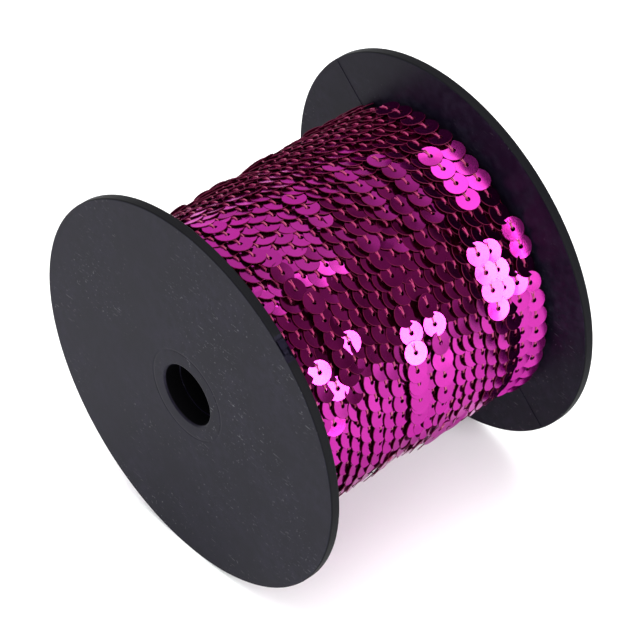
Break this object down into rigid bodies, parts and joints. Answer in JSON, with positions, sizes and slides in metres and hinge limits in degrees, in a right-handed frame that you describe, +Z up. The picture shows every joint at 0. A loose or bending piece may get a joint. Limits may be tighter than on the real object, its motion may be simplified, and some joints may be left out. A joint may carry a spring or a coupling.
{
  "type": "sequin trim on a spool",
  "caption": "String of overlapping metallic magenta sequins wound on a black plastic spool with thin round flanges and a hollow core.",
  "frame": {"origin": "on the surface that the spool rests on, under the middle of its axis", "axes": "+X along the spool's axis, +Z up, +Y across"},
  "size_m": [0.082, 0.102, 0.1018],
  "materials": {
    "spool_plastic": "black moulded plastic, matt, lightly scuffed",
    "sequin_film": "metallised magenta film, mirror bright",
    "stitch_thread": "dyed sewing thread with a soft sheen"
  },
  "bodies": {
    "root": {"spool": "spool_plastic", "sequin_winding": "sequin_film"}
  },
  "joints": []
}
